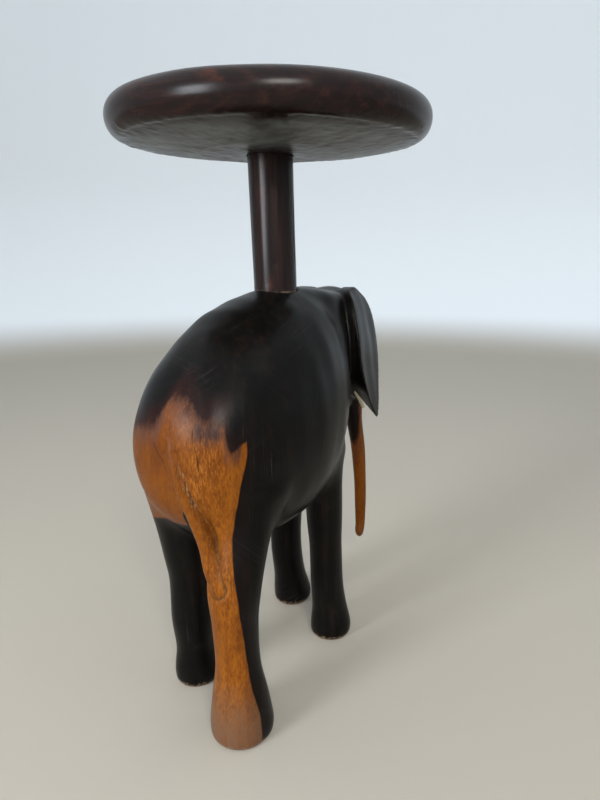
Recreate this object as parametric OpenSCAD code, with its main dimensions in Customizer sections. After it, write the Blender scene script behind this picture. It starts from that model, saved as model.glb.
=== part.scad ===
// Carved elephant pedestal table.
// One carved elephant carries a round post on its back and a thick round top on the post.
// The elephant walks towards +X, +Z is up, and Z = 0 is the plane of the soles.

/* [Elephant] */
// Length of the trunk of the body, from the rump to the front of the chest
body_length = 272; // [262:1:282]
// Greatest width of the body
body_width = 168; // [160:1:176]
// Height of the back at the foot of the post
back_height = 413; // [408:1:420]
// Height of the belly above the ground
belly_height = 168; // [160:1:175]
// How far each fore foot stands in front of the middle of the stance
fore_step = 91; // [85:1:97]
// How far each hind foot stands behind the middle of the stance
hind_step = 92; // [86:1:98]
// How far the left feet stand ahead of the right feet
stagger = 39; // [0:1:45]
// Distance from the middle line to the middle of a foot
half_track = 42; // [38:1:46]
// Radius of a leg at its thinnest, above the foot
ankle_r = 18.5; // [16:0.5:21]
// Radius of the sole of a foot
sole_r = 23; // [21:0.5:26]

/* [Head] */
// Height of the tip of the trunk above the ground
trunk_tip_height = 50; // [35:1:70]
// Radius of the trunk at its tip
trunk_tip_r = 6; // [4:0.5:9]
// Radius of a tusk where it leaves the cheek
tusk_r = 5; // [4:0.25:6]
// Length of a tusk outside the cheek
tusk_length = 26; // [22:1:32]
// Depth of the hole that holds a tusk
tusk_socket = 14; // [10:1:16]

/* [Post and top] */
// Diameter of the post where it enters the back
post_foot_d = 43.5; // [38:0.5:45]
// Diameter of the post where it enters the top
post_head_d = 45.5; // [40:0.5:48]
// Depth of the blind hole in the back that holds the post
back_socket = 45; // [30:1:60]
// Depth of the blind hole in the top that holds the post
top_socket = 16; // [10:1:20]
// Sideways lean of the post towards the left
post_lean = 2; // [0:0.5:3]
// Diameter of the top
top_d = 310; // [290:1:320]
// Thickness of the top in its middle
top_thickness = 45; // [41:1:50]
// How much thinner the top is near its rim, below
top_dish = 11; // [4:1:14]
// Tilt of the top, down towards the right hind leg
top_tilt = 1.5; // [0:0.5:2]
// Height of the upper face of the top above the ground, in its middle
table_height = 584; // [572:1:600]

/* [Hidden] */

HARDWOOD = [0.13, 0.10, 0.09];
ROSEWOOD = [0.20, 0.11, 0.09];
BONE = [0.90, 0.87, 0.78];
GLUE_GAP = 0.15;
RIM_R = 15;
// Direction in plan towards which the top tilts down.
TILT_WAY = 215;

// Places along X are measured from the middle of the stance.
rump_x = -152;
trunk_front_x = 238;
post_x = 20;
underside = table_height - top_thickness;
post_len = underside + top_socket - back_height;
top_y = (underside - back_height) * tan(post_lean);
// The frame's origin is midway between the rump and the trunk, and under the middle of the top.
SHIFT = [-(rump_x + trunk_front_x)/2, -top_y, 0];

// ---- Curves ----

// Smooth value at x through the points [x, value] of a table, by cubic steps.
function slope(t, i) = (i <= 0 || i >= len(t) - 1) ? 0 :
    (t[i+1][1] - t[i-1][1]) / (t[i+1][0] - t[i-1][0]);
function hermite(a, b, ma, mb, u) =
    a*(2*u*u*u - 3*u*u + 1) + b*(3*u*u - 2*u*u*u) + ma*(u*u*u - 2*u*u + u) + mb*(u*u*u - u*u);
function at(t, x, i=0) =
    x <= t[0][0] ? t[0][1] :
    i >= len(t) - 1 ? t[len(t)-1][1] :
    x <= t[i+1][0] ?
        let (w = t[i+1][0] - t[i][0])
        hermite(t[i][1], t[i+1][1], slope(t, i)*w, slope(t, i+1)*w, (x - t[i][0])/w) :
    at(t, x, i + 1);

// ---- Lofted solids ----

// A closed solid through rings that all have the same number of points.
module loft(rings) {
    n = len(rings[0]);
    m = len(rings);
    polyhedron(
        points = [for (r = rings) each r],
        faces = [
            [for (i = [0:n-1]) i],
            for (k = [0:m-2]) for (i = [0:n-1])
                let (j = (i + 1) % n) each [
                    [k*n + i, (k+1)*n + i, (k+1)*n + j],
                    [k*n + i, (k+1)*n + j, k*n + j]],
            [for (i = [n-1:-1:0]) (m-1)*n + i]
        ],
        convexity = 6);
}

// A ring across the body: half width w, from z0 to z1, seen along X.
function round_power(v, p) = sign(v) * pow(abs(v), p);
function cross_ring(x, w, z0, z1, n=20, p=0.94) = [for (i = [0:n-1])
    let (a = 360*i/n)
    [x, w*round_power(cos(a), p), (z0+z1)/2 + (z1-z0)/2*round_power(sin(a), p)]];

// A level ring: centre [x, y], radius rx along X and ry along Y.
function level_ring(x, y, z, rx, ry, n=16) = [for (i = [0:n-1])
    let (a = 360*i/n) [x + rx*cos(a), y + ry*sin(a), z]];

// ---- Elephant ----

chest_x = rump_x + body_length;
half_w = body_width / 2;
back_line = [[rump_x, 288], [-145, 316], [-130, 339], [-100, 365], [-60, 388], [-20, 404],
    [20, back_height], [60, 412], [100, 409], [chest_x, 405]];
belly_line = [[rump_x, 262], [-145, 226], [-130, 200], [-100, 182], [-50, belly_height],
    [20, belly_height], [60, 182], [100, 232], [chest_x, 262]];
width_line = [[rump_x, 18], [-145, 42], [-130, 58], [-100, half_w*0.90], [-50, half_w*0.99],
    [-20, half_w], [20, half_w*0.95], [60, half_w*0.80], [100, half_w*0.57], [chest_x, 36]];

module barrel() {
    stations = [for (i = [0:22]) rump_x + body_length * (1 - cos(180*i/22)) / 2];
    loft([for (x = stations) cross_ring(x, at(width_line, x), at(belly_line, x), at(back_line, x))]);
}

// Leg outline: height, radius.  The foot is a flared bell, and the leg widens into the body.
function leg_line(sole, ankle) = [[0, sole], [14, sole + 0.5], [40, sole - 3], [75, ankle], [120, ankle],
    [150, ankle + 1], [185, ankle + 4], [235, ankle + 9]];

// x, y: middle of the sole.  set_back: how far the shank stands behind it.
module leg(x, y, sole, ankle, set_back, top_x) {
    outline = leg_line(sole, ankle);
    shank = [[0, x], [14, x], [75, x - 0.75*set_back], [150, x - set_back], [235, top_x]];
    loft([for (z = [0, 7, 14, 24, 34, 48, 62, 75, 95, 120, 150, 170, 190, 235])
        let (r = at(outline, z)) level_ring(at(shank, z), y, z, r*1.04, r)]);
}

module legs() {
    for (side = [-1, 1]) {
        step = side * stagger / 2;
        leg(fore_step + step, side*(half_track - 2), sole_r, ankle_r, side < 0 ? 17 : 23, 52);
        hind_sole = side < 0 ? sole_r + 5 : sole_r;
        leg(step - hind_step, side*(half_track + 1), hind_sole, ankle_r + 2, 5, -88);
    }
}

// Head: rings from inside the shoulders to the forehead.
head_top = [[90, 407], [125, 406], [150, 399], [180, 374], [205, 336]];
head_low = [[90, 262], [125, 258], [150, 260], [180, 258], [205, 268]];
head_half = [[90, 44], [125, 41], [150, 39], [180, 31], [205, 20]];
module head() {
    loft([for (x = [90, 108, 125, 138, 150, 165, 180, 192, 205])
        cross_ring(x, at(head_half, x), at(head_low, x), at(head_top, x), 16)]);
}

// Trunk: a tapered tube that leaves the face and hangs down in front of the chest.
trunk_root_z = 310;
trunk_len = trunk_root_z - trunk_tip_height;
trunk_xs = [[0, 184], [0.2, 202], [0.4, 216], [0.6, 225], [0.8, 230], [1, 230]];
trunk_rs = [[0, 24], [0.2, 15], [0.4, 11], [0.6, 9], [0.8, 7.6], [1, trunk_tip_r]];
module trunk() {
    loft([for (i = [14:-1:0])
        let (u = i/14, r = at(trunk_rs, u))
        level_ring(min(at(trunk_xs, u), trunk_front_x - r), 0, trunk_root_z - trunk_len*u, r, r, 12)]);
}

// Ear: a flap with a crisp free edge behind and a hanging point below.
// Points run round the flap as [x, z, y of the outer face].
ear_edge = [[118, 405, 46], [103, 380, 58], [96, 350, 68], [97, 318, 72], [110, 286, 72], [133, 258, 68],
    [148, 274, 63], [160, 298, 55], [166, 325, 49], [164, 352, 47], [155, 380, 47], [138, 401, 46]];
module ear(side) {
    outer = [for (p = ear_edge) [p[0], side*p[2], p[1]]];
    inner = [for (p = ear_edge) [p[0]*0.94 + 8.6, side*20, p[1]*0.8 + 78]];
    rings = [inner, outer];
    loft(side < 0 ? rings : [outer, inner]);
}

// Tail: in relief on the rump, running down to the back of the right hind leg.
tail_way = [[-129, -36, 138, 4.5], [-131, -30, 158, 8], [-135, -24, 182, 9], [-139, -17, 210, 9.5],
    [-142, -10, 240, 9], [-144, -3, 270, 8], [-144, 2, 300, 6.5]];
module tail() {
    loft([for (p = tail_way) level_ring(p[0], p[1], p[2], p[3], p[3], 12)]);
}

module post_axis() {
    translate([post_x, 0, back_height]) rotate([-post_lean, 0, 0]) children();
}

module tusk_axis(side) {
    translate([157, side*27, 278]) rotate([0, 145, side*6]) children();
}

module elephant_body() {
    color(HARDWOOD) translate(SHIFT) difference() {
        union() {
            barrel();
            legs();
            head();
            trunk();
            ear(1);
            ear(-1);
            tail();
        }
        post_axis() translate([0, 0, -back_socket])
            cylinder(h = back_socket + 20, d = post_foot_d + 2*GLUE_GAP, $fn = 64);
        for (side = [-1, 1]) tusk_axis(side) translate([0, 0, -tusk_socket])
            cylinder(h = tusk_socket + 12, r = tusk_r + GLUE_GAP, $fn = 32);
    }
}

// ---- Post and top ----

module post() {
    color(ROSEWOOD) translate(SHIFT) post_axis() {
        translate([0, 0, -back_socket + GLUE_GAP])
            cylinder(h = back_socket, d = post_foot_d, $fn = 64);
        cylinder(h = post_len, d1 = post_foot_d, d2 = post_head_d, $fn = 64);
    }
}

module table_top() {
    r = top_d / 2;
    mid_z = (top_dish + top_thickness) / 2;
    half_rim = (top_thickness - top_dish) / 2;
    color(ROSEWOOD) translate(SHIFT) difference() {
        translate([post_x, top_y, underside])
            rotate([0, 0, TILT_WAY]) rotate([0, top_tilt, 0]) rotate_extrude($fn = 96)
            polygon([[0, 0], [r*0.45, 1.5], [r - RIM_R, top_dish],
                for (a = [-80:16:80]) [r - RIM_R + RIM_R*cos(a), mid_z + half_rim*sin(a)],
                [r - RIM_R, top_thickness], [0, top_thickness]]);
        post_axis() cylinder(h = post_len + GLUE_GAP, d = post_head_d + 4*GLUE_GAP, $fn = 64);
    }
}

module tusk(side) {
    color(BONE) translate(SHIFT) tusk_axis(side) {
        translate([0, 0, -tusk_socket + GLUE_GAP]) cylinder(h = tusk_socket, r = tusk_r, $fn = 32);
        cylinder(h = tusk_length, r1 = tusk_r, r2 = tusk_r*0.55, $fn = 32);
        translate([0, 0, tusk_length]) sphere(r = tusk_r*0.55, $fn = 24);
    }
}

elephant_body();
post();
table_top();
tusk(-1);  // tusk_right
tusk(1);  // tusk_left
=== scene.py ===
import math
import bpy
import numpy as np
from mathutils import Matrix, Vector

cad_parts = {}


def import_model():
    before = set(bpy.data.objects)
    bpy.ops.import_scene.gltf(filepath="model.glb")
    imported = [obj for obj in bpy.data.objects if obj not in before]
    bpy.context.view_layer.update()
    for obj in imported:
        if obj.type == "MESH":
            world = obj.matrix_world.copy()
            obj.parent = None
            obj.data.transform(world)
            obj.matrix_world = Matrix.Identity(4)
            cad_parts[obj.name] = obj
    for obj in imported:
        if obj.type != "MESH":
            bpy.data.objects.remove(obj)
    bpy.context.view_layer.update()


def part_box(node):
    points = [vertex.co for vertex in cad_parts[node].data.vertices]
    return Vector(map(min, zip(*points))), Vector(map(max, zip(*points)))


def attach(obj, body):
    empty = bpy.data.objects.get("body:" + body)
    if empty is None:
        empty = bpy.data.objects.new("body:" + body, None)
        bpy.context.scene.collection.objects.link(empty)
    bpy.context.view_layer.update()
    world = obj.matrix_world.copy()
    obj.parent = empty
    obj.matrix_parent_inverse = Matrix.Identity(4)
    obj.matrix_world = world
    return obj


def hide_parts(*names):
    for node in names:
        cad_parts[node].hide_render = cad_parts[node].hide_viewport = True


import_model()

import openvdb as vdb
from mathutils import Matrix, Vector

# Carved elephant pedestal table: elephant, post, top and two tusks.  Shapes are given in
# millimetres, measured from the middle of the stance, with +X the way the elephant walks, +Y its
# left and +Z up.  MM and STANCE take them into the frame.

MM = 0.001
RUMP_X = -152.0
body_lo, body_hi = [np.array(corner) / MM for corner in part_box("elephant_body")]
STANCE = np.array([body_lo[0] - RUMP_X, (body_lo[1] + body_hi[1]) / 2, 0.0])


def stance_box(node):
    """A CAD node's lowest and highest corners, in millimetres from the stance."""
    return [np.array(corner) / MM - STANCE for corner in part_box(node)]


def in_frame(points):
    """Points given in millimetres from the stance, in the frame's metres."""
    return (np.asarray(points, float) + STANCE) * MM


# ---- Small tools ----

def curve(points, x):
    """Smooth value at x through the points (x, value), level at both ends."""
    px, py = np.array(points, float).T
    slope = np.zeros_like(py)
    slope[1:-1] = (py[2:] - py[:-2]) / (px[2:] - px[:-2])
    x = np.asarray(x, float)
    i = np.clip(np.searchsorted(px, x) - 1, 0, len(px) - 2)
    w = px[i + 1] - px[i]
    u = np.clip((x - px[i]) / w, 0, 1)
    return (py[i] * (2*u**3 - 3*u**2 + 1) + py[i + 1] * (3*u**2 - 2*u**3)
            + slope[i] * w * (u**3 - 2*u**2 + u) + slope[i + 1] * w * (u**3 - u**2))


def smooth_step(x, a, b):
    """0 below a, 1 above b, smooth between."""
    t = np.clip((x - a) / (b - a), 0, 1)
    return t * t * (3 - 2*t)


def soft_min(a, b, k):
    """The smaller of two distances, with the corner between them filled over about k mm."""
    h = np.clip(0.5 + 0.5 * (b - a) / k, 0, 1)
    return b + (a - b) * h - k * h * (1 - h)


def soft_max(a, b, k):
    """The larger of two distances, with the edge between them rounded over about k mm."""
    return -soft_min(-a, -b, k)


def waves(x, y, z, size, seed, count=7):
    """Slow hand-made unevenness between about -1 and 1, with bumps about size mm across."""
    rng = np.random.default_rng(seed)
    total = 0
    for direction in rng.normal(size=(count, 3)):
        k = direction / np.linalg.norm(direction) * 2 * math.pi / size * rng.uniform(0.6, 1.4)
        total = total + np.sin(k[0]*x + k[1]*y + k[2]*z + rng.uniform(0, 6.3))
    return total / math.sqrt(count)


def ellipsoid(centre, radii):
    """An ellipsoid with its axes along x, y and z."""
    def shape(x, y, z):
        p = [v - c for v, c in zip((x, y, z), centre)]
        k0 = np.sqrt(sum((v / r)**2 for v, r in zip(p, radii)))
        k1 = np.sqrt(sum((v / r**2)**2 for v, r in zip(p, radii)))
        return k0 * (k0 - 1) / np.maximum(k1, 1e-6)
    return shape


def rod(start, end, r_start, r_end):
    """A tapered rod with round ends."""
    a, b = np.array(start, float), np.array(end, float)
    ab = b - a

    def shape(x, y, z):
        t = ((x - a[0])*ab[0] + (y - a[1])*ab[1] + (z - a[2])*ab[2]) / (ab @ ab)
        t = np.clip(t, 0, 1)
        gap = (x - a[0] - t*ab[0])**2 + (y - a[1] - t*ab[1])**2 + (z - a[2] - t*ab[2])**2
        return np.sqrt(gap) - (r_start + (r_end - r_start) * t)
    return shape


def smooth_path(points, steps):
    """Points along a smooth open path through the given ones, ends included."""
    p = np.array(points, float)
    p = np.vstack([2*p[0] - p[1], p, 2*p[-1] - p[-2]])
    out = []
    for a, b, c, d in zip(p, p[1:], p[2:], p[3:]):
        for t in np.arange(steps) / steps:
            out.append(0.5 * (2*b + (c - a)*t + (2*a - 5*b + 4*c - d)*t**2 + (3*b - a - 3*c + d)*t**3))
    out.append(p[-2])
    return np.array(out)


FAR = 60.0


class Clay:
    """A block to carve: a signed distance in millimetres on a regular grid, FAR where it is empty."""

    def __init__(self, lo, hi, step):
        self.lo, self.step = np.array(lo, float), step
        self.axes = [np.arange(a, b, step) for a, b in zip(lo, hi)]
        self.d = np.full([len(a) for a in self.axes], FAR, np.float32)

    def part(self, lo, hi):
        """The part of the grid between two corners, and its x, y and z."""
        cut = [slice(*np.searchsorted(axis, (a, b))) for axis, a, b in zip(self.axes, lo, hi)]
        grid = [axis[c].astype(np.float32) for axis, c in zip(self.axes, cut)]
        return tuple(cut), np.meshgrid(*grid, indexing="ij", sparse=True)

    def true_distance(self, f):
        """f divided by its own slope, so that it is a distance near its surface."""
        slope = np.sqrt(sum(g * g for g in np.gradient(f, self.step)))
        return f / np.maximum(slope, 1e-4)

    def add(self, shape, lo, hi, soft, even=False):
        cut, (x, y, z) = self.part(lo, hi)
        d = shape(x, y, z)
        if even:
            d = self.true_distance(d)
        self.d[cut] = soft_min(self.d[cut], d, soft)

    def cut(self, shape, lo, hi, soft):
        cut, (x, y, z) = self.part(lo, hi)
        self.d[cut] = soft_max(self.d[cut], -shape(x, y, z), soft)

    def raise_by(self, height, lo, hi):
        """Lift the surface by a height in mm that depends on the place."""
        cut, (x, y, z) = self.part(lo, hi)
        self.d[cut] -= height(x, y, z)

    def at(self, points, field=None):
        """The distance, or another field on the same grid, at points in mm."""
        field = self.d if field is None else field
        p = (np.asarray(points) - self.lo) / self.step
        p = np.clip(p, 0, np.array(field.shape) - 1.001)
        i = p.astype(int)
        f = p - i
        total = 0
        for corner in np.ndindex(2, 2, 2):
            w = np.prod(np.where(corner, f, 1 - f), axis=1)
            total = total + w * field[tuple((i + corner).T)]
        return total

    def crest(self):
        """How sharply the surface bends outwards, in 1/mm: edges above 0, hollows below."""
        slopes = np.gradient(self.d, self.step)
        return sum(np.gradient(slope, self.step, axis=axis) for axis, slope in enumerate(slopes))

    def mesh(self, name):
        """The carved surface as a mesh, and its points in stance millimetres."""
        grid = vdb.FloatGrid()
        grid.background = FAR
        grid.copyFromArray(self.d.astype(np.float32))
        points, quads = grid.convertToQuads(isovalue=0)
        points = points * self.step + self.lo
        mesh = bpy.data.meshes.new(name)
        mesh.from_pydata(in_frame(points), [], quads.tolist())
        mesh.shade_smooth()
        return mesh, points


def lathe(profile, turns, place, shift=None):
    """Revolve (radius, height) points, closed on the axis at both ends; place maps local mm to stance mm.

    shift(radius, height, angle) gives what to add to each point's radius and height.
    """
    r, h = np.array(profile, float).T
    angle = np.arange(turns) * 2 * math.pi / turns
    rr, hh, aa = r[:, None] + 0*angle, h[:, None] + 0*angle, 0*r[:, None] + angle
    if shift:
        dr, dh = shift(rr, hh, aa)
        rr, hh = rr + dr, hh + dh
    inner = slice(1, -1)
    rings = np.stack([rr*np.cos(aa), rr*np.sin(aa), hh], axis=-1)[inner].reshape(-1, 3)
    ends = [(0, 0, hh[0].mean()), (0, 0, hh[-1].mean())]
    points = place(np.vstack([rings, ends]))
    count = len(profile) - 2
    faces = []
    for k in range(turns):
        n = (k + 1) % turns
        faces.append((count*turns, n, k))
        faces.append((count*turns + 1, (count - 1)*turns + k, (count - 1)*turns + n))
        for j in range(count - 1):
            faces.append((j*turns + k, j*turns + n, (j + 1)*turns + n, (j + 1)*turns + k))
    return points, faces


def spread(points, gap):
    """The same outline with a point at least every gap mm."""
    p = [np.array(points[0], float)]
    for q in np.array(points[1:], float):
        n = max(1, math.ceil(np.linalg.norm(q - p[-1]) / gap))
        start = p[-1]
        p += [start + (q - start) * (k + 1) / n for k in range(n)]
    return np.array(p)


def piece(name, mesh, node, material):
    """A finished piece that stands for a CAD node."""
    thing = bpy.data.objects.new(name, mesh)
    bpy.context.scene.collection.objects.link(thing)
    mesh.materials.append(material)
    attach(thing, "root")
    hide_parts(node)
    return thing


def attribute(mesh, name, values):
    """One number at each point, which Finish.mark reads."""
    mesh.attributes.new(name, "FLOAT", "POINT").data.foreach_set("value", np.asarray(values, np.float32))


# ---- Where the post and the tusks stand, from their CAD boxes ----

GLUE_GAP = 0.15
LEAN = math.radians(2)
FOOT_R, HEAD_R = 21.75, 22.75
BACK_SOCKET, TOP_SOCKET, TUSK_SOCKET = 45, 16, 12
TUSK_R, TUSK_GAP = 5.0, 0.3
post_lo, post_hi = stance_box("post")
AXIS = np.array([0, math.sin(LEAN), math.cos(LEAN)])
middle_x = (post_lo[0] + post_hi[0]) / 2
FOOT = np.array([middle_x, post_lo[1] + FOOT_R*math.cos(LEAN), post_lo[2] + FOOT_R*math.sin(LEAN)])
HEAD = np.array([middle_x, post_hi[1] - HEAD_R*math.cos(LEAN), post_hi[2] - HEAD_R*math.sin(LEAN)])
FOOT = FOOT + (BACK_SOCKET - GLUE_GAP) * AXIS


def tusk_ends(node, side):
    """The middle of a tusk's root and of its tip, from its CAD box, with its node."""
    lo, hi = stance_box(node)
    y = (lo[1], hi[1]) if side > 0 else (hi[1], lo[1])
    root = np.array([lo[0] + TUSK_R, y[0] + side*TUSK_R, hi[2] - TUSK_R*0.8])
    tip = np.array([hi[0] - 1.5, y[1] - side*2.5, lo[2] + 1.5])
    return root, tip, node


TUSKS = [tusk_ends("tusk_right", -1), tusk_ends("tusk_left", 1)]


# ---- The elephant ----

# The barrel of the body: its half width, half height and middle height go by x.
SECTION_POWER = 2.15
BARREL = dict(
    middle=-19, half=133, end_power=3.0,
    width=[(-152, 76), (-100, 79), (-50, 82), (-20, 84), (20, 80), (60, 72), (120, 60)],
    height=[(-152, 85), (-100, 101), (-50, 115), (20, 122), (60, 118), (120, 116)],
    centre=[(-152, 272), (-100, 276), (-50, 283), (20, 291), (60, 298), (100, 317), (120, 328)])


def barrel(x, y, z):
    """A rounded box section, closed at both ends by a flatter power curve."""
    w, h, c = [curve(BARREL[k], x) for k in ("width", "height", "centre")]
    across = np.abs(y / w)**SECTION_POWER + np.abs((z - c) / h)**SECTION_POWER
    end = np.abs((x - BARREL["middle"]) / BARREL["half"])
    q = BARREL["end_power"]
    return 80 * ((across**(q / SECTION_POWER) + end**q)**(1 / q) - 1)


def column(centre_x, centre_y, radius, stretch=1.0):
    """An upright round limb: its centre and radius go by height."""
    def shape(x, y, z):
        cx, cy, r = curve(centre_x, z), curve(centre_y, z), curve(radius, z)
        return np.sqrt(((x - cx) / stretch)**2 + (y - cy)**2) - r
    return shape


# Each leg: middle of the sole, how far the shank stands behind it, x and y where it enters the body,
# sole radius, shank radius, and how much wider its root is.
LEGS = [
    dict(foot_x=-111, foot_y=-44.5, set_back=4.5, top_x=-92, top_y=-41, sole=29.3, shank=20.9, root=10),
    dict(foot_x=-73.5, foot_y=43.5, set_back=5, top_x=-86, top_y=44, sole=23.5, shank=22.3, root=14),
    dict(foot_x=71.5, foot_y=-40, set_back=14, top_x=54, top_y=-37, sole=23.0, shank=18.5, root=5),
    dict(foot_x=110.5, foot_y=40, set_back=18, top_x=60, top_y=36, sole=23.0, shank=19.4, root=8)]
LEG_TOP = 240


def leg(foot_x, foot_y, set_back, top_x, top_y, sole, shank, root):
    """A leg that stands on its sole and runs up into the body."""
    xs = [(0, foot_x), (14, foot_x), (75, foot_x - 0.75*set_back), (150, foot_x - set_back),
          (LEG_TOP, top_x)]
    ys = [(0, foot_y), (100, foot_y), (170, (foot_y + top_y) / 2), (LEG_TOP, top_y)]
    rs = [(0, sole - 2), (4, sole), (14, sole + 0.5), (40, sole - 3), (75, shank), (120, shank),
          (150, shank + root*0.3), (185, shank + root*0.53), (LEG_TOP, shank + root)]
    limb = column(xs, ys, rs, 1.04)
    return lambda x, y, z: soft_max(limb(x, y, z), z - float(LEG_TOP), 10.0)


# The trunk: its middle as (z, x) and its radius as (z, radius), and where it is cut for its tip.
TRUNK_END = 60.0
TRUNK_X = [(48, 228), (70, 230), (110, 228.5), (155, 223.5), (192, 216.5), (235, 203), (275, 190),
           (320, 178), (350, 168), (385, 160)]
TRUNK_R = [(48, 5.4), (70, 6.8), (110, 8.0), (155, 9.0), (192, 9.8), (235, 11.5), (275, 18),
           (320, 24), (350, 15), (385, 4)]


def trunk(x, y, z):
    """The hanging trunk, which tapers away inside the head."""
    limb = column(TRUNK_X, [(0, 0), (400, 0)], TRUNK_R)(x, y, z)
    tip = ellipsoid((228, 0, TRUNK_END), (6.6, 6.0, 11))(x, y, z)
    return soft_min(soft_max(limb, TRUNK_END - z, 1.0), tip, 1.0)


def nape(x, y, z):
    """The broad level bridge between the back and the forehead, which the ears hang from."""
    flat = ellipsoid((88, 0, 356), (64, 42, 82))(x, y, z)
    return soft_max(flat, z - 404.5 + 0.0006 * (x - 60)**2 + 0.002 * y*y, 8)


# Outline of an ear from the side as (x, z); where its outer face stands at x = EAR_X by height;
# how fast that face turns in towards the front; how much its lower edge rises inwards.
EAR = [(114, 407), (96, 388), (89, 352), (91, 318), (105, 286), (130, 257),
       (145, 274), (158, 298), (167, 325), (167, 354), (161, 384), (147, 405)]
EAR_X = 90
EAR_FACE = [(250, 77), (286, 72), (318, 67), (350, 63), (380, 56), (395, 50), (407, 43)]
EAR_TURN = 0.21
EAR_RISE = 1.2


def closed_curve(points, steps=7):
    """Points along a smooth closed curve through the given ones."""
    p = [tuple(q) for q in points]
    return smooth_path(p[-1:] + p + p[:2], steps)[steps:-steps - 1]


def outline_distance(loop, x, z):
    """Signed distance in the side view from a closed loop of points."""
    best = np.full(x.shape, 1e9, np.float32)
    inside = np.zeros(x.shape, bool)
    for a, b in zip(loop, np.roll(loop, -1, axis=0)):
        ex, ez = b - a
        t = np.clip(((x - a[0]) * ex + (z - a[1]) * ez) / (ex*ex + ez*ez), 0, 1)
        best = np.minimum(best, (x - a[0] - t*ex)**2 + (z - a[1] - t*ez)**2)
        crosses = (a[1] > z) != (b[1] > z)
        with np.errstate(divide="ignore", invalid="ignore"):
            inside ^= crosses & (x < a[0] + (z - a[1]) * ex / ez)
    return np.where(inside, -1, 1) * np.sqrt(best)


def ear(side):
    """An ear carved close to the neck, on the right for side -1 and on the left for side 1."""
    loop = closed_curve(EAR)

    def shape(x, y, z):
        x, y, z = np.broadcast_arrays(x, side*y, z)
        face = curve(EAR_FACE, z) - EAR_TURN * (x - EAR_X)
        depth = np.clip(face - y, 0, 45)
        low = np.clip((330 - z) / 41, 0, 1)
        flat = outline_distance(loop, x, z - EAR_RISE * depth * low)
        return soft_max(soft_max(flat, (y - face) * 0.95, 1.2), 20.0 - y, 2.0)
    return shape


# The tail lies in relief down the rump and ends on the right hind leg: (x, y, z) and radius.
TAIL = [(-145, -1, 308), (-148, -8, 284), (-148, -15.5, 257), (-140.5, -22, 228), (-131, -27.5, 197),
        (-129.5, -33.1, 176), (-129.5, -40.4, 162)]
TAIL_R = [(0, 3), (0.15, 5.2), (0.4, 6.6), (0.5, 7), (0.67, 8.8), (0.83, 10.2), (1, 10.6)]


def tail(x, y, z):
    """A chain of tapered rods along the tail."""
    path = smooth_path(TAIL, 3)
    t = np.linspace(0, 1, len(path))
    r = curve(TAIL_R, t)
    return np.minimum.reduce([rod(a, b, ra, rb)(x, y, z)
                              for a, b, ra, rb in zip(path, path[1:], r, r[1:])])


# The right side of the tail and its round tip, as (y, z), for the groove and its marks.
TAIL_SIDE = [(y - r - 0.5, z) for (_, y, z), r in zip(TAIL[1:], (5.5, 6.4, 6.8, 8, 10.2, 10.6))]
TAIL_TIP = [(-40.9 + 10.6*math.cos(a), 163 + 11.5*math.sin(a)) for a in np.radians(range(190, 365, 25))]


def off_route(route, y, z):
    """Distance from a broken line given as (y, z), seen from behind."""
    best = 1e9
    for (ya, za), (yb, zb) in zip(route, route[1:]):
        dy, dz = yb - ya, zb - za
        t = np.clip(((y - ya)*dy + (z - za)*dz) / (dy*dy + dz*dz), 0, 1)
        best = np.minimum(best, np.hypot(y - ya - t*dy, z - za - t*dz))
    return best


# ---- Head details ----

EYE = (183, 25, 326)
MOUTH = (176, 0, 262)


def eyes(x, y, z):
    """Almond eyes: a domed ball inside a raised lid."""
    across = (x - EYE[0]) * 0.86 + (z - EYE[2]) * 0.50
    up = (z - EYE[2]) * 0.86 - (x - EYE[0]) * 0.50
    ring = np.sqrt((across / 8.5)**2 + (up / 5.2)**2)
    lid = 1.5 * np.exp(-((ring - 1) / 0.22)**2)
    ball = 1.3 * np.clip(1 - (ring / 0.72)**2, 0, 1)
    return (lid + ball) * smooth_step(np.abs(y), 8, 16)


def mouth(x, y, z):
    """The mouth is a shallow cut that runs back from the trunk on both cheeks."""
    line = MOUTH[2] + 0.30 * (MOUTH[0] - x)
    near = np.exp(-((z - line) / 2.0)**2)
    along = smooth_step(x, 150, 160) * smooth_step(-x, -194, -186)
    return -1.8 * near * along * smooth_step(np.abs(y), 3, 8)


def tail_groove(x, y, z):
    """A groove down the right side of the tail and round its tip."""
    return -1.7 * np.exp(-(off_route(TAIL_SIDE + TAIL_TIP, y, z) / 1.7)**2) + 0*x


BLOCK_LO, BLOCK_HI = (-160, -92, -6), (246, 92, 418)


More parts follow.
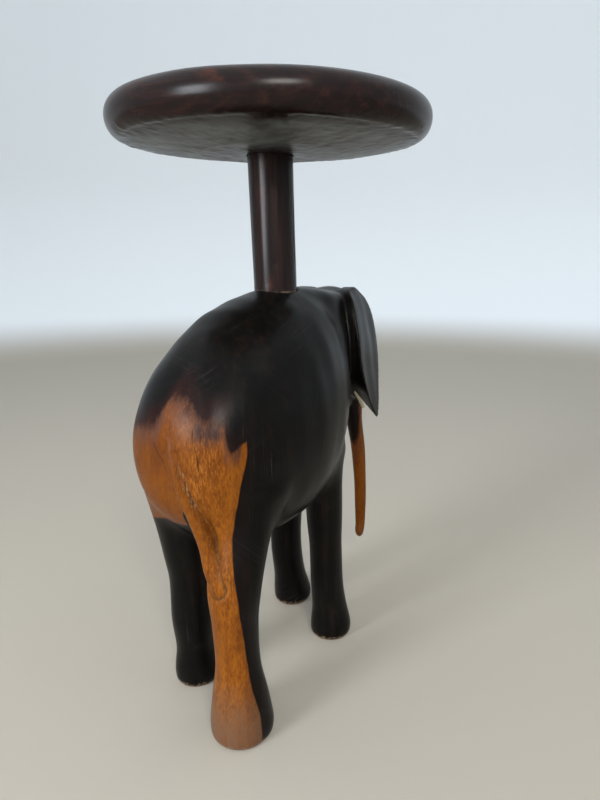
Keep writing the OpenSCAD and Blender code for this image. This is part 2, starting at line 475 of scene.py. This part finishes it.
def carve_elephant():
    """The whole elephant in one block, joined from soft forms, then cut for the post and the tusks."""
    clay = Clay(BLOCK_LO, BLOCK_HI, 1.6)
    clay.add(barrel, (-160, -92, 150), (130, 92, 418), 1.0, even=True)
    for sizes in LEGS:
        x, y = sizes["foot_x"], sizes["foot_y"]
        clay.add(leg(**sizes), (x - 66, y - 56, -6), (x + 45, y + 56, 262), 14)
    clay.add(ellipsoid((97, 0, 290), (44, 37, 60)), (40, -60, 210), (170, 60, 370), 16)
    clay.add(ellipsoid((136, 0, 342), (56, 43, 63)), (60, -62, 262), (212, 62, 418), 14)
    clay.add(nape, (10, -80, 270), (170, 80, 418), 22)
    for side in (-1, 1):
        clay.add(ellipsoid((152, side*20, 297), (22, 11, 22)), (115, -60, 255), (190, 60, 330), 7)
    clay.add(ellipsoid((165, 0, 318), (34, 32, 58)), (110, -50, 240), (226, 50, 400), 12)
    clay.add(ellipsoid((163, 0, 266), (20, 15, 16)), (130, -40, 236), (200, 40, 300), 8)
    clay.add(trunk, (140, -50, 40), (246, 50, 386), 10)
    clay.raise_by(mouth, (140, -50, 240), (200, 50, 290))
    clay.raise_by(eyes, (160, -50, 305), (205, 50, 345))
    for side in (-1, 1):
        y = sorted((side*12, side*90))
        clay.add(ear(side), (80, y[0], 236), (185, y[1], 418), 3)
    clay.add(tail, (-160, -70, 135), (-110, 20, 325), 1.2)
    clay.raise_by(tail_groove, (-162, -70, 138), (-110, 20, 300))
    clay.raise_by(lambda x, y, z: 0.35 * waves(x, y, z*0.6, 38, 3), BLOCK_LO, BLOCK_HI)
    clay.cut(lambda x, y, z: z + 0*x + 0*y, (-160, -92, -6), (246, 92, 6), 1.5)
    clay.cut(rod(FOOT - 60*AXIS, FOOT + 40*AXIS, FOOT_R + GLUE_GAP, FOOT_R + GLUE_GAP),
             (-10, -30, 366), (50, 30, 418), 0.4)
    for root, tip, _ in TUSKS:
        out = (tip - root) / np.linalg.norm(tip - root)
        hole = rod(root, root + TUSK_SOCKET*out, TUSK_R + TUSK_GAP, TUSK_R + TUSK_GAP)
        clay.cut(hole, (150, -50, 240), (200, 50, 310), 0.4)
    return clay


# ---- Material tools ----

class Value:
    """One number in a node tree, so that sums are written as sums."""

    def __init__(self, tree, socket):
        self.tree, self.socket = tree, socket

    def math(self, what, *others, clamp=False):
        """A Math node on this value and others, each a Value or a plain number."""
        node = self.tree.nodes.new("ShaderNodeMath")
        node.operation, node.use_clamp = what, clamp
        for place, value in zip(node.inputs, (self,) + others):
            if isinstance(value, Value):
                self.tree.links.new(value.socket, place)
            else:
                place.default_value = value
        return Value(self.tree, node.outputs[0])

    def __add__(self, other):
        return self.math("ADD", other)

    def __sub__(self, other):
        return self.math("SUBTRACT", other)

    def __mul__(self, other):
        return self.math("MULTIPLY", other)

    def least(self, other):
        return self.math("MINIMUM", other)

    def most(self, other):
        return self.math("MAXIMUM", other)

    def abs(self):
        return self.math("ABSOLUTE")

    def step(self, start, end):
        """0 below start, 1 above end, smooth between; the other way round when start > end."""
        flip = start > end
        node = self.tree.nodes.new("ShaderNodeMapRange")
        node.interpolation_type = "SMOOTHSTEP"
        self.tree.links.new(self.socket, node.inputs["Value"])
        node.inputs["From Min"].default_value = min(start, end)
        node.inputs["From Max"].default_value = max(start, end)
        node.inputs["To Min"].default_value = float(flip)
        node.inputs["To Max"].default_value = float(not flip)
        return Value(self.tree, node.outputs["Result"])


class Finish:
    """A material whose nodes see the object in millimetres."""

    def __init__(self, name):
        self.material = bpy.data.materials.new(name)
        self.material.use_nodes = True
        self.tree = self.material.node_tree
        self.bsdf = self.tree.nodes["Principled BSDF"]
        self.place = self.tree.nodes.new("ShaderNodeTexCoord").outputs["Object"]

    def node(self, kind, **settings):
        made = self.tree.nodes.new("ShaderNode" + kind)
        for key, value in settings.items():
            setattr(made, key, value)
        return made

    def scaled(self, stretch, turn=(0, 0, 0)):
        """The place in millimetres, turned and then squeezed along each axis, for a stretched grain."""
        turned, squeezed = self.node("Mapping"), self.node("Mapping")
        turned.inputs["Rotation"].default_value = turn
        squeezed.inputs["Scale"].default_value = [s / MM for s in stretch]
        self.tree.links.new(self.place, turned.inputs["Vector"])
        self.tree.links.new(turned.outputs[0], squeezed.inputs["Vector"])
        return squeezed.outputs[0]

    def noise(self, size, stretch=(1, 1, 1), detail=3.0, rough=0.55, warp=0.0, turn=(0, 0, 0)):
        """Noise about -1 to 1 with blotches of size mm, times what stretch squeezes."""
        made = self.node("TexNoise")
        made.inputs["Scale"].default_value = 1.0 / size
        made.inputs["Detail"].default_value = detail
        made.inputs["Roughness"].default_value = rough
        made.inputs["Distortion"].default_value = warp
        self.tree.links.new(self.scaled(stretch, turn), made.inputs["Vector"])
        return (Value(self.tree, made.outputs["Fac"]) - 0.5) * 2.0

    def cells(self, size, stretch):
        """Distance to the nearest of scattered points, in cells."""
        made = self.node("TexVoronoi")
        made.inputs["Scale"].default_value = 1.0 / size
        self.tree.links.new(self.scaled(stretch), made.inputs["Vector"])
        return Value(self.tree, made.outputs["Distance"])

    def mark(self, name):
        """A number carried by the mesh's points."""
        return Value(self.tree, self.node("Attribute", attribute_name=name).outputs["Fac"])

    def height(self):
        """Height above the ground in millimetres."""
        split = self.node("SeparateXYZ")
        self.tree.links.new(self.place, split.inputs[0])
        return Value(self.tree, split.outputs[2]) * (1 / MM)

    def mix(self, amount, a, b):
        """Colour a where amount is 0 and b where it is 1; each is a tuple or a socket."""
        made = self.node("Mix", data_type="RGBA")
        self.tree.links.new(amount.socket, made.inputs["Factor"])
        for socket, colour in zip((made.inputs[6], made.inputs[7]), (a, b)):
            if isinstance(colour, tuple):
                socket.default_value = (*colour, 1)
            else:
                self.tree.links.new(colour, socket)
        return made.outputs[2]

    def colour(self, socket):
        self.tree.links.new(socket, self.bsdf.inputs["Base Color"])

    def roughness(self, value):
        self.tree.links.new(value.math("ADD", 0.0, clamp=True).socket, self.bsdf.inputs["Roughness"])

    def bump(self, height_mm):
        made = self.node("Bump")
        made.inputs["Distance"].default_value = MM
        self.tree.links.new(height_mm.socket, made.inputs["Height"])
        self.tree.links.new(made.outputs[0], self.bsdf.inputs["Normal"])


# ---- Materials ----

HEART_BLACK, HEART_BROWN = (0.0026, 0.0023, 0.0020), (0.0085, 0.0048, 0.0034)
HEART_RED, HEART_GREY = (0.024, 0.006, 0.0045), (0.0075, 0.0085, 0.0078)
SAP_ORANGE, SAP_PALE, SAP_BROWN = (0.235, 0.072, 0.006), (0.34, 0.125, 0.022), (0.090, 0.023, 0.003)
SAP_DARK, SAP_FOOT_TINT, SAP_SMOKE_AND_SHEEN = (0.030, 0.010, 0.004), (0.125, 0.068, 0.040), (0.090, 0.040, 0.026)
SCRATCH, TAIL_LINE, SOOT = (0.055, 0.048, 0.044), (0.045, 0.026, 0.010), (0.020, 0.012, 0.012)
WEATHERED, WORN, CRACK_DARK = (0.26, 0.20, 0.11), (0.22, 0.145, 0.09), (0.012, 0.007, 0.004)


def hairlines(look, turn):
    """Long fine scratches along one direction, here and there."""
    line = look.noise(1.0, (1, 0.012, 0.012), 1.0, turn=turn).step(0.20, 0.42)
    return line * look.noise(38, (1, 1, 1), 3.0, 0.6, turn=turn).step(-0.1, 0.5)


def two_tone_hardwood():
    """Oiled, handled hardwood: black heartwood with an orange flank of sapwood, grain upright."""
    look = Finish("two_tone_hardwood")
    fibre = look.noise(1.5, (1, 1, 0.07), 2.0)
    fleck = look.noise(1.8, (1, 1, 0.30), 3.0, 0.6, 0.4)
    streak = look.noise(8, (1, 1, 0.10), 4.0, 0.6)
    cloud = look.noise(42, (1, 1, 0.5), 3.0)
    mottle = look.noise(17, (1, 1, 0.55), 4.0, 0.6, 0.5)
    ragged = look.mark("ragged")
    bristle = look.noise(2.4, (1, 1, 0.06), 3.0, 0.6) * 3.0 + look.noise(8, (1, 1, 0.12), 3.0) * 6.0
    sap = look.mark("sap") + ragged * bristle + mottle * 0.8
    inside = sap.math("DIVIDE", ragged * 4.0 + 0.7).step(-0.9, 1.2)

    heart = look.mix((streak + fibre * 0.3).step(-0.1, 0.6) * 0.8, HEART_BLACK, HEART_BROWN)
    reddish = sap.step(-20, -1) * (mottle * 0.6 + 0.5) * (ragged * 0.8 + 0.15)
    heart = look.mix(((streak * 0.7 + cloud).step(0.25, 0.9) * 0.5).most(reddish), heart, HEART_RED)
    rubbed = (cloud + mottle * 0.5).step(0.15, 0.85) * 0.5
    heart = look.mix(rubbed, heart, HEART_GREY)

    pale = look.mix((fleck * 0.45 + streak * 0.5 + mottle * 0.4).step(-0.5, 0.45), SAP_BROWN, SAP_ORANGE)
    pale = look.mix((fleck * 0.8 + cloud * 0.8).step(0.15, 0.8) * 0.6, pale, SAP_PALE)
    pale = look.mix((mottle + cloud * 0.4 - fleck * 0.5).step(0.05, 0.60) * 0.8, pale, SAP_BROWN)
    # Painted shade: the sapwood is darkened to brown on the left of the rump and a little on its upper
    # part.
    tan = look.mark("tan") * (mottle * 1.8 + streak * 0.9 + 0.8)
    pale = look.mix(tan.least(0.9).most(0.0), pale, SAP_BROWN)
    foot = (look.height() + mottle * 18).step(80, 15)
    pale = look.mix(foot * (fibre * 0.4 + streak * 0.5 + 0.75).least(0.9).most(0.2), pale, SAP_FOOT_TINT)
    pores = look.cells(2.0, (1, 1, 0.16)).step(0.15, 0.05) * look.noise(14).step(-0.2, 0.3)
    pale = look.mix(pores * 0.8, pale, SAP_DARK)
    # Grey-violet tone, mostly along the upper edge of the sapwood: partly a smoky stain, partly a painted
    # sheen.
    smoke_and_sheen = sap.step(22, 1) * ragged * (mottle * 0.9 + streak * 0.4 + 0.7)
    pale = look.mix(smoke_and_sheen.least(0.8).most(0.0), pale, SAP_SMOKE_AND_SHEEN)
    edge = sap.step(13.0, 0.0) * (fibre * 0.8 + streak * 0.9 + 0.35) * (ragged * 0.8 + 0.2)
    pale = look.mix(edge.most(0.0).least(1.0), pale, SAP_DARK)
    soot = look.mark("smudge") * (mottle * 0.9 + streak * 1.4 + fibre * 0.4 + 1.1)
    pale = look.mix(soot.step(0.3, 1.5) * 0.9, pale, SOOT)
    wood = look.mix(inside, heart, pale)

    beside = look.mark("weathered")
    groove = beside + look.noise(1.2, (1, 1, 0.3), 3.0, 0.7) * 1.3 + mottle * 0.5
    wood = look.mix(groove.step(0.95, 1.5) * 0.7, wood, WEATHERED)
    wood = look.mix((beside * 1.2 + fibre * 0.5 + mottle * 0.4).step(1.05, 1.4) * 0.8, wood, SAP_DARK)
    wood = look.mix((look.mark("outline") + streak * 0.4).step(0.3, 1.1) * 0.75, wood, TAIL_LINE)
    cracks = look.mark("crack").abs() - (look.noise(4, (1, 1, 0.3)) * 0.5 + 0.15)
    crack = cracks.step(0.5, -0.1) * look.mark("crack_on") * look.noise(6, (1, 1, 0.4)).step(-0.35, 0.0)
    wood = look.mix(crack * 0.9, wood, CRACK_DARK)
    worn = look.mark("worn") + look.noise(3.5, (1, 1, 1), 4.0) * 0.8
    wood = look.mix(worn.step(0.75, 1.25) * 0.7, wood, WORN)
    scratches = hairlines(look, (0, 0.9, 0.3)).most(hairlines(look, (0.4, -0.5, 0.9)))
    scratches = scratches.most(hairlines(look, (0, 1.9, -0.4)))
    wood = look.mix(scratches * 0.24, wood, SCRATCH)
    look.colour(wood)

    rough = cloud * 0.06 + fibre * 0.03 + scratches * 0.15 + inside * 0.02 + rubbed * 0.10 + 0.33
    look.roughness(rough + crack * 0.3 + groove.step(0.3, 0.9) * 0.2)
    look.bsdf.inputs["Specular IOR Level"].default_value = 0.095
    look.bump(fibre * 0.035 + streak * 0.05 + look.noise(16, (1, 1, 0.6)) * 0.10 + fleck * inside * 0.04
              - pores * inside * 0.06 - scratches * 0.04 - crack * 0.5)
    return look.material


ROSE_DARK, ROSE_BROWN, ROSE_RED = (0.010, 0.0065, 0.006), (0.030, 0.012, 0.009), (0.085, 0.022, 0.011)
TOOLED_GREY_AND_REFLECTION, WAX = (0.205, 0.220, 0.222), (0.17, 0.125, 0.09)


def dark_rosewood(name, grain):
    """Polished dark rosewood: near black with red-brown figure along the grain."""
    look = Finish(name)
    streak = look.noise(7, grain, 4.0, 0.6, 0.4)
    figure = look.noise(30, grain, 3.0, 0.55, 0.8)
    fibre = look.noise(1.4, tuple(g * g for g in grain), 2.0)
    rubbed = look.noise(55, (1, 1, 1), 4.0, 0.6)
    wood = look.mix((streak + fibre * 0.3).step(-0.2, 0.7), ROSE_DARK, ROSE_BROWN)
    wood = look.mix((figure * 0.7 + rubbed + streak * 0.4).step(0.15, 0.95) * 0.8, wood, ROSE_RED)
    pores = look.cells(2.0, grain).step(0.16, 0.04)
    wood = look.mix(pores * 0.6, wood, ROSE_DARK)
    rough = streak * 0.03 + rubbed * 0.06 + 0.25
    look.bsdf.inputs["Specular IOR Level"].default_value = 0.13
    height = fibre * 0.015 + streak * 0.03 - pores * 0.03
    return look, wood, rough, height


def post_wood():
    """Rosewood with the grain upright, and a broken line of old wax at its foot."""
    look, wood, rough, height = dark_rosewood("dark_rosewood_post", (1, 1, 0.07))
    wax = look.mark("above_back") + look.noise(3, (1, 1, 1), 3.0) * 0.9
    line = wax.step(1.1, 0.6) * look.noise(12, (1, 1, 0.1), 3.0).step(-0.1, 0.35)
    wood = look.mix(line * 0.55, wood, WAX)
    look.colour(wood)
    look.roughness(rough + line * 0.3)
    look.bump(height)
    return look.material


def top_wood():
    """Rosewood with the grain along Y; the underside is pale grey, partly its dull tooled skin and partly a
    painted reflection of the pale wall, with painted shade near the post.
    """
    look, wood, rough, height = dark_rosewood("dark_rosewood_top", (1, 0.10, 1))
    under = look.mark("under")
    # Painted reflection: the underside's grey stands partly for the tooled skin and partly for the pale
    # wall reflected in it.
    skin_and_reflection = under * (look.noise(20, (1, 0.5, 1), 4.0, 0.65) * 0.5 + 0.62)
    wood = look.mix(skin_and_reflection.step(0.15, 1.0) * 0.85, wood, TOOLED_GREY_AND_REFLECTION)
    marks = look.noise(3.0, (1, 0.25, 1), 3.0, 0.6, 0.5, (0, 0, 0.5)).step(0.25, 0.6) * under
    wood = look.mix(marks * 0.7, wood, ROSE_DARK)
    look.colour(wood)
    look.roughness(rough + under * 0.12)
    look.bump(height + under * look.noise(6, (1, 0.35, 1), 3.0, 0.5, 0.5, (0, 0, 0.5)) * 0.15 - marks * 0.1)
    return look.material


BONE_CREAM, BONE_WARM = (0.70, 0.64, 0.48), (0.58, 0.48, 0.30)
BONE_LINE, BONE_ROOT = (0.40, 0.30, 0.17), (0.26, 0.16, 0.08)


def bone():
    """Tusks of polished bone: cream, warmer at the root, with fine lengthwise lines."""
    look = Finish("pale_bone")
    lines = look.noise(1.2, (0.2, 1, 0.2), 2.0, turn=(0, 0.6, 0))
    stain = look.noise(9, (1, 1, 1), 3.0)
    cream = look.mix(stain.step(-0.2, 0.7), BONE_CREAM, BONE_WARM)
    cream = look.mix(lines.step(0.25, 0.7) * 0.35, cream, BONE_LINE)
    cream = look.mix(look.mark("root").step(0.25, 0.0) * 0.7, cream, BONE_ROOT)
    look.colour(cream)
    look.roughness(stain * 0.05 + 0.32)
    look.bump(lines * 0.03)
    look.bsdf.inputs["Subsurface Weight"].default_value = 0.15
    look.bsdf.inputs["Subsurface Radius"].default_value = (0.004, 0.003, 0.0015)
    return look.material


# ---- Marks on the elephant that its material reads ----

# Sapwood on the rump: its right edge as (z, y) and (z, x), its upper edge as (y, z), its lower edge
# where it stops above the left hind leg as (y, z), and how far it reaches round the left side.
SAP_RIGHT = [(0, -71), (30, -69.5), (62, -64), (110, -60.5), (150, -58), (200, -51), (218, -54),
             (252, -61.5), (285, -66.5), (330, -58)]
SAP_RIGHT_X = [(0, -116), (30, -116), (62, -121), (110, -125.6), (142, -129.5), (171, -130), (204, -126),
               (253, -126), (285, -121), (330, -118)]
SAP_TOP = [(-75, 290), (-63, 293), (-56, 285), (-50, 309), (-35, 312), (-26, 318), (-16, 326), (-4, 330),
           (2, 320), (7, 308), (39, 299), (75, 292)]
SAP_FOOT = [(-24, -80), (-18, 200), (-8, 211), (25, 205), (49, 198), (75, 192)]
SAP_LEFT = 63
TRUNK_SAP = [(50, 190), (150, 196), (175, 201), (190, 206), (205, 205), (221, 202), (235, 199), (250, 193),
             (262, 190), (290, 201), (330, 226)]


def sapwood(p):
    """How far inside the sapwood each point is, in mm, and how ragged the nearest edge is, 0 to 1."""
    x, y, z = p.T
    right = 0.7 * ((y - curve(SAP_RIGHT, z)) - (x - curve(SAP_RIGHT_X, z)))
    top = (curve(SAP_TOP, y) - z) * 0.8
    foot = (z - curve(SAP_FOOT, y)) * 0.9
    front = -100 + 14 * smooth_step(-z, -60, -15) - x
    rump = np.minimum.reduce([right, top, foot, SAP_LEFT - y, front])
    face = x - curve(TRUNK_SAP, z)
    ragged = np.where(x < 0, smooth_step(np.minimum(right, foot) - top, -3, 8), 0.3)
    ragged = ragged * (0.3 + 0.7 * smooth_step(y, -60, -44))
    return np.where(x < 0, np.clip(rump, -40, 30), np.clip(face, -40, 30)), ragged


# Dark drying cracks: start (y, z), end (y, z).  The last is on the right flank, given as (x, z).
RUMP_CRACKS = [((11, 293), (-5, 264)), ((-29, 305), (-36, 268)), ((-21, 258), (-26, 247))]
FLANK_CRACK = ((26, 272), (37, 205))


def line_gap(u, v, start, end, where):
    """Signed distance across a line, and whether a point lies beside it, fading at the ends."""
    (u0, v0), (u1, v1) = start, end
    length = math.hypot(u1 - u0, v1 - v0)
    du, dv = (u1 - u0) / length, (v1 - v0) / length
    along = (u - u0)*du + (v - v0)*dv
    across = (u - u0)*dv - (v - v0)*du + 0.8*np.sin(along / 5.0)
    on = smooth_step(along, -1, 5) * smooth_step(length - along, -1, 5)
    return across, on * where * (np.abs(across) < 6)


def mark_elephant(mesh, p, clay):
    """Where the sapwood, cracks, stains and worn edges lie, and where the sapwood is painted darker as
    shade, for points p in stance millimetres.
    """
    x, y, z = p.T
    rump = x < -60
    sap, ragged = sapwood(p)
    attribute(mesh, "sap", sap)
    attribute(mesh, "ragged", ragged)
    # This mark paints shade: it darkens the sapwood on the left of the rump, and a little on its upper
    # part.
    high = smooth_step(z, 235, 290) * smooth_step(y, -75, -45)
    attribute(mesh, "tan", 0.55 * smooth_step(y, -34, 6) + 0.25 * high)
    cracks = [line_gap(y, z, *ends, rump) for ends in RUMP_CRACKS]
    cracks.append(line_gap(x, z, *FLANK_CRACK, y < 0))
    gaps, beside = zip(*cracks)
    nearest = np.argmax(beside, axis=0)
    attribute(mesh, "crack", np.choose(nearest, gaps))
    attribute(mesh, "crack_on", np.choose(nearest, beside))
    drip = np.exp(-((y + 59.5) / 2.2)**2) * smooth_step(z, 264, 282) * rump
    soot = 1.15 * np.exp(-((y + 41) / 13)**2) * np.exp(-((z - 300) / 12)**2) * rump
    attribute(mesh, "smudge", drip * 1.2 + soot)
    upper = smooth_step(-z, -300, -262) * smooth_step(z, 165, 185)
    attribute(mesh, "weathered", np.exp(-(off_route(TAIL_SIDE, y, z) / 4.0)**2) * rump * upper)
    outline = np.exp(-(off_route(TAIL_SIDE + TAIL_TIP, y, z) / 1.6)**2)
    attribute(mesh, "outline", outline * (x < -112) * smooth_step(-z, -255, -200))
    crest = clay.at(p, clay.crest())
    low = smooth_step(-z, -12, -3)
    attribute(mesh, "worn", low * 0.75 + np.clip(crest * 1.6, 0, 0.5))


# ---- The pieces ----

def mesh_of(name, points, faces):
    """A smooth mesh from points in stance millimetres."""
    mesh = bpy.data.meshes.new(name)
    mesh.from_pydata(in_frame(points), [], faces)
    mesh.shade_smooth()
    return mesh


def make_elephant():
    """The elephant; returns its clay, from which the post reads its height above the back."""
    clay = carve_elephant()
    mesh, points = clay.mesh("elephant")
    mark_elephant(mesh, points, clay)
    piece("elephant", mesh, "elephant_body", two_tone_hardwood())
    return clay


def make_post(clay):
    """A whittled round post, not quite straight, with old nicks, standing in its two sockets."""
    length = float((HEAD - FOOT) @ AXIS)
    bottom = -BACK_SOCKET + GLUE_GAP
    outline = spread([(0, bottom), (FOOT_R - 1, bottom), (FOOT_R, bottom + 1), (FOOT_R, 0),
                      (HEAD_R, length - 1), (HEAD_R - 1, length), (0, length)], 1.3)
    side = np.cross(AXIS, (1, 0, 0))
    # Each nick: angle, height, size and depth.
    nicks = [(-2.2, 96, 3.0, 0.35), (-2.5, 22, 3.5, 0.35), (-1.9, 60, 2.5, 0.3)]

    def whittled(r, h, a):
        on_side = (r > 15) * smooth_step(h, 0, 3) * smooth_step(length - 14 - h, 0, 3)
        wave = 0.2 * waves(r*np.cos(a), r*np.sin(a), h*0.4, 60, 5) + 0.05 * np.sin(14*a + 1)
        dents = sum(d * np.exp(-((a - 2*math.pi - t)*FOOT_R / w)**2 - ((h - at) / w)**2)
                    for t, at, w, d in nicks)
        crack = 0.8 * np.exp(-((a - 4.95 - 0.04*np.sin(h / 9)) * FOOT_R / 0.9)**2) * smooth_step(h, 10, 30)
        return (wave - dents - crack * smooth_step(-h, -92, -80)) * on_side, 0

    def place(p):
        return FOOT + p[:, :1] * np.array([1, 0, 0]) + p[:, 1:2] * side + p[:, 2:] * AXIS

    points, faces = lathe(outline, 150, place, whittled)
    mesh = mesh_of("post", points, faces)
    attribute(mesh, "above_back", clay.at(points))
    piece("pedestal_post", mesh, "post", post_wood())


TOP_R, TOP_THICK, TOP_DISH, RIM_R = 155, 45, 11, 15
TOP_TILT, TILT_WAY = math.radians(1.5), math.radians(215)


def make_top():
    """The top is one thick slice, bellied below, with a hand-rounded rim and gouge marks underneath."""
    mid, half = (TOP_DISH + TOP_THICK) / 2, (TOP_THICK - TOP_DISH) / 2
    socket = HEAD_R + 0.6
    flat = TOP_R - RIM_R
    rim = [(flat + RIM_R*math.cos(a), mid + half*math.sin(a)) for a in np.radians(np.arange(-90, 91, 5))]
    outline = spread([(0, TOP_SOCKET + 0.5), (socket, TOP_SOCKET + 0.5), (socket, 0.6), (socket + 0.8, 0),
                      (TOP_R*0.45, 1.5)] + rim + [(0, TOP_THICK)], 2.0)
    origin = HEAD - TOP_SOCKET * AXIS
    turn = Matrix.Rotation(TILT_WAY, 3, "Z") @ Matrix.Rotation(TOP_TILT, 3, "Y")

    def cut_by_hand(r, h, a):
        x, y = r*np.cos(a), r*np.sin(a)
        open_face = smooth_step(r, socket + 1, socket + 8)
        low = smooth_step(TOP_DISH + 8 - h, 0, 6) * open_face
        rim_side = smooth_step(r, flat, TOP_R)
        gouge = 0.30 * waves(x*0.9 + y*0.4, y*0.5 - x*0.2, 0, 13, 8, 12)
        hollow = 0.25 - np.abs(gouge)
        round_off = 0.9 * np.sin(2*a + 0.6) + 0.3 * np.sin(5*a)
        return (rim_side * (round_off + 0.15 * waves(x, y, h*1.5, 60, 4)),
                low * hollow + 0.2 * waves(x, y, h, 90, 6) * open_face)

    def place(p):
        return origin + p @ np.array(turn).T

    points, faces = lathe(outline, 300, place, cut_by_hand)
    mesh = mesh_of("table_top", points, faces)
    local = (points - origin) @ np.array(turn)
    height, radius = local[:, 2], np.linalg.norm(local[:, :2], axis=1)
    low = smooth_step(TOP_DISH + 1.5 - height, 0, 3)
    # Less grey towards the rim, and down to about a third near the post, which paints the post's shade on
    # the underside.
    grey_with_post_shade = smooth_step(-radius, 3 - TOP_R, 28 - flat) * (0.35 + 0.65 * smooth_step(radius, 22, 75))
    attribute(mesh, "under", low * grey_with_post_shade)
    piece("round_top", mesh, "table_top", top_wood())


def make_tusk(root, tip, node, finish):
    """A short tusk: a bent, tapered cone with a rounded point."""
    out = (tip - root) / np.linalg.norm(tip - root)
    bend = np.cross(out, (0, 1, 0))
    length = np.linalg.norm(tip - root)
    sections, turns = 36, 32
    t = np.linspace(0, 1, sections)
    r = TUSK_R * (1 - 0.50*t**1.4) * np.sqrt(1 - smooth_step(t, 0.86, 1.0)**2 * 0.999)
    centre = root + t[:, None]*length*out + 1.6 * np.sin(math.pi*t)[:, None] * bend
    side = np.cross(out, bend)
    angle = np.arange(turns) * 2*math.pi/turns
    ring = np.cos(angle)[:, None]*bend + np.sin(angle)[:, None]*side*0.92
    points = (centre[:, None] + r[:, None, None]*ring).reshape(-1, 3)
    points = np.vstack([points, centre[:1], centre[-1:]])
    last = (sections - 1) * turns
    faces = []
    for k in range(turns):
        n = (k + 1) % turns
        for j in range(sections - 1):
            faces.append((j*turns + k, j*turns + n, (j + 1)*turns + n, (j + 1)*turns + k))
        faces.append((len(points) - 2, n, k))
        faces.append((len(points) - 1, last + k, last + n))
    mesh = mesh_of(node, points, faces)
    attribute(mesh, "root", np.concatenate([np.repeat(t, turns), [0, 1]]))
    piece("bone_" + node, mesh, node, finish)


elephant_clay = make_elephant()
make_post(elephant_clay)
make_top()
tusk_finish = bone()
for root, tip, node in TUSKS:
    make_tusk(root, tip, node, tusk_finish)


# ---- Floor, light and camera ----

FLOOR_TINT, WALL_TINT = (0.39, 0.355, 0.30), (0.80, 0.83, 0.85)
AIM = Vector((0, 0, 0.35))


def stage():
    """A pale floor that curves up all round into a pale wall, so that no horizon shows."""
    reach, bend, wall = 2.2, 0.9, 3.2
    outline = [(0, 0)] + [(reach + bend*math.sin(a), bend - bend*math.cos(a))
                          for a in np.radians(np.arange(0, 91, 6))] + [(reach + bend, wall)]
    turns = 96
    points = [(0, 0, 0)]
    for r, z in outline[1:]:
        points += [(r*math.cos(k*2*math.pi/turns), r*math.sin(k*2*math.pi/turns), z) for k in range(turns)]
    faces = [(0, 1 + k, 1 + (k + 1) % turns) for k in range(turns)]
    for j in range(len(outline) - 2):
        for k in range(turns):
            a, n = 1 + j*turns, (k + 1) % turns
            faces.append((a + k, a + turns + k, a + turns + n, a + n))
    mesh = bpy.data.meshes.new("floor")
    mesh.from_pydata(points, [], faces)
    mesh.shade_smooth()
    floor = bpy.data.objects.new("floor", mesh)
    bpy.context.scene.collection.objects.link(floor)
    look = Finish("floor")
    tint = look.mix(look.height().step(0, 160), FLOOR_TINT, WALL_TINT)
    look.colour(tint)
    look.bsdf.inputs["Roughness"].default_value = 0.8
    look.bsdf.inputs["Specular IOR Level"].default_value = 0.1
    mesh.materials.append(look.material)


def area_light(name, place, size, power, tint):
    """A soft rectangular light that looks at AIM."""
    light = bpy.data.lights.new(name, "AREA")
    light.shape, light.size, light.size_y, light.energy, light.color = "RECTANGLE", *size, power, tint
    light.spread = math.radians(100)
    lamp = bpy.data.objects.new(name, light)
    lamp.location = place
    lamp.rotation_euler = (AIM - Vector(place)).to_track_quat("-Z", "Y").to_euler()
    bpy.context.scene.collection.objects.link(lamp)


def camera():
    """The photo's view: behind the elephant and to its right, a little above its back."""
    cam = bpy.data.cameras.new("camera")
    cam.sensor_fit, cam.sensor_height, cam.lens = "VERTICAL", 36.0, 27.0
    eye = bpy.data.objects.new("camera", cam)
    heading, pitch, roll = math.radians(32), math.radians(-13.2), math.radians(-0.2)
    eye.matrix_world = (Matrix.Translation(in_frame((-498, -353, 440)))
                        @ Matrix.Rotation(heading - math.pi / 2, 4, "Z")
                        @ Matrix.Rotation(math.pi / 2 + pitch, 4, "X") @ Matrix.Rotation(roll, 4, "Z"))
    bpy.context.scene.collection.objects.link(eye)
    bpy.context.scene.camera = eye


def world():
    sky = bpy.data.worlds.new("studio")
    sky.use_nodes = True
    sky.node_tree.nodes["Background"].inputs["Color"].default_value = (0.80, 0.85, 0.90, 1)
    sky.node_tree.nodes["Background"].inputs["Strength"].default_value = 1.33
    bpy.context.scene.world = sky


stage()
world()
camera()
bpy.context.scene.view_settings.view_transform = "Standard"
area_light("window", (-2.05, 0.48, 0.85), (0.6, 1.0), 14.5, (0.88, 0.94, 1.0))
area_light("lamp", (-1.5, -1.3, 1.38), (0.7, 0.6), 10.5, (1.0, 0.97, 0.92))
